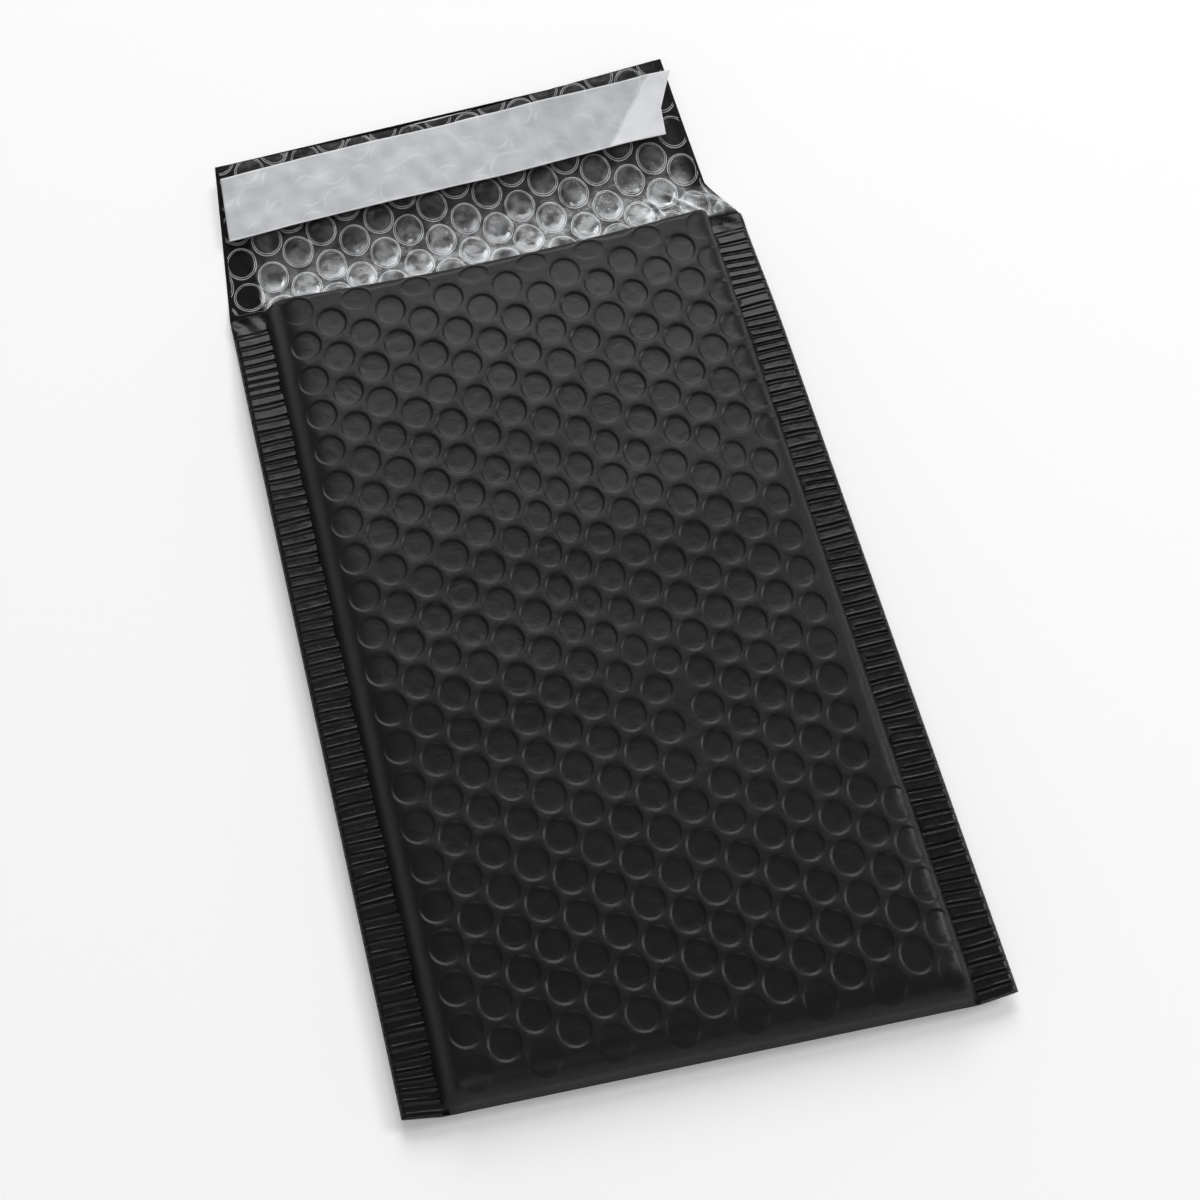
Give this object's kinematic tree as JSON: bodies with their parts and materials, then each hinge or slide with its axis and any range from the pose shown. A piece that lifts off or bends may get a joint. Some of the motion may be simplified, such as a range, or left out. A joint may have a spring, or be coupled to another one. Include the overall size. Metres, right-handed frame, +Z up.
{
  "type": "padded envelope",
  "caption": "Black film mailer lined with bubble film, lying flat with its flap open and its release strip still on.",
  "frame": {"origin": "middle of the base of the bounding box, on the surface that the envelope lies on", "axes": "+X across the width, +Y up the length from the bottom fold to the flap, +Z up, out of the front panel"},
  "size_m": [0.165, 0.317, 0.0122],
  "materials": {
    "black_film": "matte, finely grained, ribbed at the welded seams",
    "clear_bubble_film": "glossy, clear, slightly hazy",
    "pale_glue": "smooth and tacky",
    "pale_release_film": "satin, slightly translucent"
  },
  "bodies": {
    "root": {"outer_film": "black_film", "bubble_liner": "clear_bubble_film", "adhesive_strip": "pale_glue", "release_liner": "pale_release_film"}
  },
  "joints": []
}
